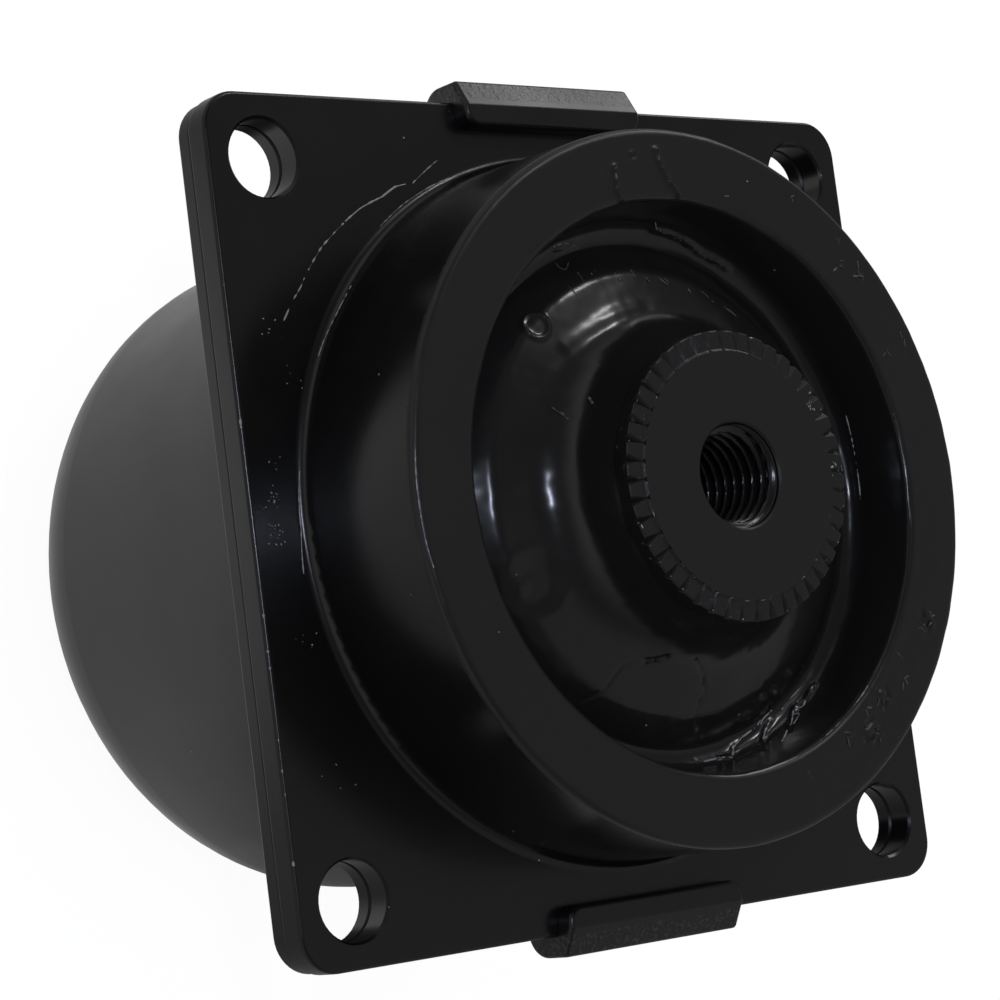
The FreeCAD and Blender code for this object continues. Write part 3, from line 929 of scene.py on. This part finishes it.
        # The wrinkles' pale colour is a painted highlight that stands in for their glints.
        settle(wrinkles, PAINTED_GLINT_ENAMEL.material())
        settle(bell_beads, scraps)
        for piece in (ring, flakes, wrinkles):
            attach(piece, Body.CASE.value)
        for piece in (bell, bell_beads):
            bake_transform(piece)
        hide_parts("rubber_spring")
        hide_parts("rubber_spring")
        for piece in (ring, bell, flakes, wrinkles, bell_beads):
            log.info("%s: %d faces", piece.name, len(piece.data.polygons))

    def paint_recess(self, ring: bpy.types.Object) -> None:
        """Faces inside the recess take the pooled paint, the rest the ring's thin coat."""
        mesh = ring.data
        centres = np.empty(len(mesh.polygons) * 3)
        mesh.polygons.foreach_get("center", centres)
        radius = np.hypot(centres[0::3], centres[1::3]) / MM
        pooled = (radius < self.recess_radius + 0.4).astype(np.int32)
        mesh.polygons.foreach_set("material_index", pooled)

    def stop_ring(self) -> bpy.types.Object:
        """The flat ring on the lip, the recess's wall and the outer half of its groove."""
        shown = [
            Corner(self.neck_radius + 0.01, self.skirt_level),
            Corner(self.pad_outer, self.pad_level, 1.2),
            Corner(self.recess_radius, self.pad_level, 1.3),
            Corner(self.groove_outer, self.groove_level, 3.0),
            Corner(self.parting_radius, self.groove_level),
        ]
        hidden = [
            Corner(self.parting_radius, self.groove_level),
            Corner(self.parting_radius, self.foot_level),
            Corner(self.liner_radius - 1.6, self.foot_level),
            Corner(self.liner_radius, self.foot_level + 3.2),
            Corner(self.liner_radius, self.under_lip),
            Corner(self.lip_inner, self.under_lip),
            Corner(self.lip_inner, self.lip_level),
            Corner(self.neck_radius - 0.6, self.lip_level),
            Corner(self.neck_radius - 0.5, self.skirt_level),
            Corner(self.neck_radius + 0.01, self.skirt_level),
        ]
        surface = TurnedSurface(shown, hidden, self.step, self.columns)
        points = surface.surface()
        seed = 21
        relief = self.relief(points, self.ring_marks(), self.recess_sway, seed)
        swayed = self.recess_sway * waves(points, self.sway_size, seed)
        calm = self.face_sway * waves(points, 12.0, 5)
        on_face = smooth_step((points[..., 2] - (self.pad_level - 0.6)) / 0.5)
        return surface.piece("stop_ring", relief + on_face * (calm - swayed))

    def bell(self) -> bpy.types.Object:
        """The inner half of the groove, the shoulder and the bell under the boss's head."""
        shown = [
            Corner(self.parting_radius, self.groove_level),
            Corner(self.parting_radius - 0.2, self.groove_level, 0.1),
            self.shoulder,
            self.bell_corner,
            self.bell_top,
        ]
        hidden = [
            self.bell_top,
            Corner(self.bore_radius, self.bell_top.height),
            Corner(self.bore_radius, self.cone_level),
            Corner(self.bore_radius + 2.5, self.cone_level),
            Corner(37.9, self.foot_level),
            Corner(self.parting_radius, self.foot_level),
            Corner(self.parting_radius, self.groove_level),
        ]
        surface = TurnedSurface(shown, hidden, self.step, self.columns)
        relief = self.relief(surface.surface(), self.bell_marks(), self.bell_sway, 31)
        return surface.piece("rubber_bell", relief)


@dataclass
class CentreBoss:
    """The turned boss with the thread in its bore."""

    thread_radius: float = 8.0
    pitch: float = 2.0
    thread_height: float = 1.08
    mouth_level: float = 122.4
    bottom_level: float = 94.0
    skin: float = 0.02
    row_height: float = 0.11
    columns: int = 120
    rim_radius: float = 21.7
    rim_level: float = 122.4
    face_radius: float = 18.95
    face_level: float = 122.66
    tooth_count: int = 44
    bruised_and_glint_painted_teeth: int = 30
    torn_and_glint_painted_stretches: int = 16

    def build(self) -> None:
        """Dresses the boss and screws the thread's turns into it."""
        enamel = BOSS_ENAMEL.material()
        dress("center_boss", enamel)
        thread = self.thread()
        settle(thread, THREAD_FILM.material())
        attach(thread, Body.HUB.value)
        chips = painted("boss_chips_and_painted_glints", self.chips())
        # The chips' pale colour is a painted highlight on the teeth's tips and the face's edge.
        settle(chips, PAINTED_GLINT_ENAMEL.material())
        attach(chips, Body.HUB.value)
        log.info("boss_thread: %d faces, boss_chips_and_painted_glints: %d faces",
                 len(thread.data.polygons), len(chips.data.polygons))

    def chips(self) -> list[PaintThread]:
        """Pale beads on the teeth's tips and on the edge of the flat face inside them: partly
        bruised and torn paint, partly painted highlights along those tips and that edge.
        """
        chance = np.random.default_rng(81)
        pitch = 360 / self.tooth_count
        threads = []
        for tooth in chance.permutation(self.tooth_count)[:self.bruised_and_glint_painted_teeth]:
            angle = tooth * pitch + chance.uniform(-1.5, 1.5)
            width = chance.uniform(0.5, 2.4)
            threads.append(PaintThread(((self.rim_radius, self.rim_level, angle),
                                        (self.rim_radius, self.rim_level, angle + width)),
                                       chance.uniform(0.08, 0.15), 0.9))
        for tooth in chance.permutation(self.tooth_count)[:self.torn_and_glint_painted_stretches]:
            angle = tooth * pitch + chance.uniform(-3, 3)
            width = chance.uniform(0.8, 4)
            threads.append(PaintThread(((self.face_radius, self.face_level, angle),
                                        (self.face_radius, self.face_level, angle + width)),
                                       0.07, 0.95))
        rim, face = (18.9, 21.8), (9.0, 18.7)
        threads += specks(20.0, self.rim_level + 0.1, 122.0, 2.2, 12, 82, 0.16, 0.9, rim)
        threads += specks(20.4, self.rim_level + 0.1, 90.0, 2.0, 9, 83, 0.16, 0.9, rim)
        threads += specks(17.6, self.face_level, 128.0, 1.6, 8, 85, 0.12, 0.9, face)
        threads += specks(15.0, self.face_level, 60.0, 8.0, 9, 84, 0.12, band=face)
        return threads

    def thread(self) -> bpy.types.Object:
        """The thread's ridge as a sleeve whose inside follows a helix.

        With p the pitch, the phase at angle a and height z is the fractional part
        of z / p - a / 2 pi. The sleeve's inner radius is R - H * f(phase), where f
        rises from 0 to 1 and falls back over the thread's flanks, and fades to 0
        over the first turn at the mouth.
        """
        rows = int((self.mouth_level - self.bottom_level) / self.row_height)
        turn = np.linspace(0, 2 * math.pi, self.columns, endpoint=False)[None, :]
        level = np.linspace(self.mouth_level, self.bottom_level, rows)[:, None]
        phase = (level / self.pitch - turn / (2 * math.pi)) % 1.0
        flank = np.clip((np.abs(phase - 0.5) * 2 - 0.22) / 0.5, 0, 1)
        fade = smooth_step((self.mouth_level - level) / (0.8 * self.pitch))
        inner = self.thread_radius - self.skin - self.thread_height * (1 - flank) * fade
        inner_points = np.stack([inner * np.cos(turn), inner * np.sin(turn),
                                 level + 0 * turn], axis=-1)
        outer = self.thread_radius - 0.25 * self.skin
        back = np.array([self.bottom_level, self.mouth_level])[:, None]
        outer_points = np.stack([outer * np.cos(turn) + 0 * back, outer * np.sin(turn) + 0 * back,
                                 back + 0 * turn], axis=-1)
        points = np.concatenate([inner_points, outer_points])
        faces = grid_faces(len(points), self.columns, True, True)[:, ::-1]
        return make_piece("boss_thread", points.reshape(-1, 3), faces)


@dataclass
class CoilSpring:
    """The spring between its cushion and its cap, drawn as a wire."""

    wire: float = 7.0
    turns: float = 4.6
    end_share: float = 0.15
    steps_per_turn: int = 90
    sides: int = 24

    def build(self) -> None:
        """Winds the wire inside the CAD node's box."""
        low, high = (np.array(corner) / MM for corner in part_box("coil_spring"))
        coil = self.coil(float(low[2]), float(high[2]), float(high[0]) - self.wire / 2)
        settle(coil, SPRING_STEEL.material())
        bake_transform(coil)
        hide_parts("coil_spring")
        log.info("coil_wire: %d faces", len(coil.data.polygons))

    def coil(self, foot: float, top: float, radius: float) -> bpy.types.Object:
        """The wire on a helix, with both ends ground flat.

        Args:
            foot: height of the lower ground end.
            top: height of the upper ground end.
            radius: distance of the wire's middle from the axis.

        Returns:
            The wire as a closed piece.
        """
        inset = self.end_share * self.wire
        share = np.linspace(0, 1, int(self.turns * self.steps_per_turn) + 1)
        turn = 2 * math.pi * self.turns * share
        level = foot + inset + (top - foot - 2 * inset) * share
        line = np.stack([radius * np.cos(turn), radius * np.sin(turn), level], axis=1)
        points, faces = tube(line, np.full(len(line), self.wire / 2), self.sides)
        points[:, 2] = np.clip(points[:, 2], foot, top)
        return make_piece("coil_wire", points, faces)


@dataclass
class InnerWorks:
    """The pieces that the cup hides."""

    steel: tuple[str, ...] = ("damper_plate", "plate_washer", "plate_screw", "spring_cap")
    rubber: tuple[str, ...] = ("rebound_buffer", "spring_cushion")

    def build(self) -> None:
        """Dresses every hidden node."""
        steel = OILED_STEEL.material()
        rubber = PLAIN_RUBBER.material()
        for node in self.steel:
            dress(node, steel)
        for node in self.rubber:
            dress(node, rubber)
        log.info("inner nodes dressed: %d", len(self.steel) + len(self.rubber))


@dataclass(frozen=True)
class Softbox:
    """A soft lamp: where it stands from the object, its size and its power."""

    name: str
    direction: tuple[float, float, float]
    distance: float
    size: tuple[float, float]
    power: float
    colour: str = "#ffffff"

    def build(self, target: Vector) -> None:
        """Hangs the lamp and turns it to the target."""
        lamp = bpy.data.lights.new(self.name, "AREA")
        lamp.shape = "RECTANGLE"
        lamp.size, lamp.size_y = self.size
        lamp.energy = self.power
        lamp.color = colour(self.colour)[:3]
        holder = bpy.data.objects.new(self.name, lamp)
        away = Vector(self.direction).normalized()
        holder.location = target + away * self.distance
        holder.rotation_mode = "QUATERNION"
        holder.rotation_quaternion = away.to_track_quat("Z", "Y")
        bpy.context.scene.collection.objects.link(holder)


@dataclass(frozen=True)
class Glow:
    """A soft-edged bright patch of the surroundings, which only reflections show.

    Attributes:
        direction: where it is seen from the object.
        reach: degrees from its middle at which it has faded out.
        core: degrees from its middle within which it is at its full level.
        level: how bright it is there.
    """

    direction: tuple[float, float, float]
    reach: float
    core: float
    level: float

    def added(self, tree: bpy.types.NodeTree, way: bpy.types.NodeSocket,
              level: bpy.types.NodeSocket) -> bpy.types.NodeSocket:
        """The surroundings' level with this patch added."""
        toward = Vector(self.direction).normalized()
        near = add_node(tree, "VectorMath", {0: way, 1: toward},
                        operation="DOT_PRODUCT").outputs["Value"]
        patch = add_node(tree, "MapRange",
                         {"Value": near, "From Min": math.cos(math.radians(self.reach)),
                          "From Max": math.cos(math.radians(self.core)),
                          "To Max": self.level},
                         interpolation_type="SMOOTHSTEP").outputs["Result"]
        return add_node(tree, "Math", {0: level, 1: patch},
                        operation="ADD").outputs["Value"]


@dataclass
class Studio:
    """Pale floor, white surroundings, soft lamps and the camera."""

    target: tuple[float, float, float] = (0.0, 0.0, 0.09)
    camera_place: tuple[float, float, float] = (0.040947, -0.307795, 0.443844)
    camera_right: tuple[float, float, float] = (0.126015, 0.776891, 0.616896)
    camera_up: tuple[float, float, float] = (-0.987588, 0.039474, 0.152025)
    camera_back: tuple[float, float, float] = (0.093755, -0.628396, 0.772223)
    focal_share: float = 2.98917
    sensor: float = 36.0
    floor_side: float = 6.0
    floor_spot: tuple[float, float, float] = (-0.025, -0.045, 0.0)
    floor_near: float = 65.0
    floor_far: float = 110.0
    floor_mirrored: float = 0.8
    floor_mirror_share: float = 0.55
    floor_shown: float = 1.1
    floor_shown_share: float = 0.85
    room_light: float = 0.55
    overhead: float = 0.10
    near_horizon: float = 0.55
    far_horizon: float = 0.16
    far_side: tuple[float, float, float] = (0.45, 0.89, 0.0)
    side_fade: tuple[float, float] = (-0.7, 0.5)
    ceiling_fade: tuple[float, float] = (0.1, 0.7)
    glows: tuple[Glow, ...] = (
        Glow((-0.584, 0.440, 0.682), 17.0, 3.0, 0.50),
        Glow((0.40, 0.62, 0.68), 50.0, 15.0, 0.16),
    )
    lamps: tuple[Softbox, ...] = (
        Softbox("rear_softbox", (-0.668, 0.417, 0.616), 1.1, (0.20, 0.05), 0.85),
        Softbox("low_softbox", (-0.74, 0.65, 0.17), 1.1, (0.34, 0.30), 1.0),
        Softbox("front_softbox", (-0.10, -0.54, 0.86), 1.0, (0.06, 0.06), 1.3, "#dfe7ff"),
    )

    def build(self) -> None:
        """Sets the scene up."""
        scene = bpy.context.scene
        scene.view_settings.view_transform = "Standard"
        self.world()
        self.floor()
        for lamp in self.lamps:
            lamp.build(Vector(self.target))
        self.camera()
        log.info("studio with %d lamps", len(self.lamps))

    def camera(self) -> None:
        """A long lens at the photograph's place; focal_share is focal length over width."""
        lens = bpy.data.cameras.new("camera")
        lens.sensor_width = self.sensor
        lens.lens = self.focal_share * self.sensor
        lens.clip_start, lens.clip_end = 0.01, 50.0
        holder = bpy.data.objects.new("camera", lens)
        turn = Matrix((self.camera_right, self.camera_up, self.camera_back)).transposed()
        holder.matrix_world = Matrix.Translation(self.camera_place) @ turn.to_4x4()
        bpy.context.scene.collection.objects.link(holder)
        bpy.context.scene.camera = holder

    def world(self) -> None:
        """White behind everything; in reflections a dark ceiling over a horizon that is
        brighter on the near side, towards -X and -Y."""
        world = bpy.data.worlds.new("studio")
        bpy.context.scene.world = world
        world.use_nodes = True
        tree = world.node_tree
        tree.nodes.clear()
        rays = add_node(tree, "LightPath")
        way = add_node(tree, "TexCoord").outputs["Generated"]
        height = add_node(tree, "SeparateXYZ", {"Vector": way}).outputs["Z"]
        side = add_node(tree, "VectorMath", {0: way, 1: self.far_side},
                        operation="DOT_PRODUCT").outputs["Value"]
        horizon = add_node(tree, "MapRange",
                           {"Value": side, "From Min": self.side_fade[0],
                            "From Max": self.side_fade[1],
                            "To Min": self.near_horizon, "To Max": self.far_horizon},
                           interpolation_type="SMOOTHSTEP").outputs["Result"]
        ceiling = add_node(tree, "MapRange",
                           {"Value": height, "From Min": self.ceiling_fade[0],
                            "From Max": self.ceiling_fade[1],
                            "To Min": horizon, "To Max": self.overhead},
                           interpolation_type="SMOOTHSTEP").outputs["Result"]
        for glow in self.glows:
            ceiling = glow.added(tree, way, ceiling)
        mirror = add_node(tree, "Math",
                          {0: rays.outputs["Is Glossy Ray"],
                           1: rays.outputs["Is Transmission Ray"]},
                          operation="MAXIMUM").outputs["Value"]
        unseen = add_node(tree, "Mix",
                          {0: mirror, 2: self.room_light, 3: ceiling}).outputs[0]
        level = add_node(tree, "Mix",
                         {0: rays.outputs["Is Camera Ray"], 2: unseen, 3: 1.0}).outputs[0]
        light = add_node(tree, "Background", {"Color": (1, 1, 1, 1), "Strength": level})
        add_node(tree, "OutputWorld", {"Surface": light.outputs["Background"]})

    def floor(self) -> None:
        """A pale floor that keeps a soft shadow and looks white to the camera.

        In reflections it is bright near one spot in front of the object and dim
        further out. From below it is clear, so that the part's bottom can be seen.
        """
        half = self.floor_side / 2 / MM
        points = np.array([[-half, -half, 0], [half, -half, 0], [half, half, 0], [-half, half, 0]])
        floor = make_piece("floor", points, [[0, 1, 2, 3]])
        material = bpy.data.materials.new("pale_paper_floor")
        material.use_nodes = True
        tree = material.node_tree
        tree.nodes.clear()
        rays = add_node(tree, "LightPath")
        paper = add_node(tree, "BsdfDiffuse", {"Color": colour("#f0f0f0")})
        place = add_node(tree, "TexCoord").outputs["Object"]
        away = add_node(tree, "VectorMath", {0: place, 1: self.floor_spot},
                        operation="DISTANCE").outputs["Value"]
        mirrored = add_node(tree, "MapRange",
                            {"Value": away, "From Min": self.floor_near * MM,
                             "From Max": self.floor_far * MM,
                             "To Min": self.floor_mirrored, "To Max": 0.0},
                            interpolation_type="SMOOTHSTEP").outputs["Result"]
        level = add_node(tree, "Mix",
                         {0: rays.outputs["Is Camera Ray"], 2: mirrored,
                          3: self.floor_shown}).outputs[0]
        glow = add_node(tree, "Emission", {"Color": (1, 1, 1, 1), "Strength": level})
        shown = add_node(tree, "Math",
                         {0: rays.outputs["Is Camera Ray"], 1: self.floor_shown_share},
                         operation="MULTIPLY").outputs["Value"]
        share = add_node(tree, "Math",
                         {0: rays.outputs["Is Glossy Ray"], 1: self.floor_mirror_share,
                          2: shown},
                         operation="MULTIPLY_ADD").outputs["Value"]
        mix = add_node(tree, "MixShader",
                       {0: share, 1: paper.outputs["BSDF"], 2: glow.outputs["Emission"]})
        behind = add_node(tree, "NewGeometry").outputs["Backfacing"]
        clear = add_node(tree, "BsdfTransparent")
        sheet = add_node(tree, "MixShader",
                         {0: behind, 1: mix.outputs["Shader"], 2: clear.outputs["BSDF"]})
        add_node(tree, "OutputMaterial", {"Surface": sheet.outputs["Shader"]})
        floor.data.materials.append(material)


def main() -> None:
    """Builds each sub-assembly in order."""
    logging.basicConfig(level=logging.INFO, format="%(name)s: %(message)s")
    PressedCase().build()
    RubberSpring().build()
    CentreBoss().build()
    CoilSpring().build()
    InnerWorks().build()
    Studio().build()


if __name__ == "__main__":
    main()
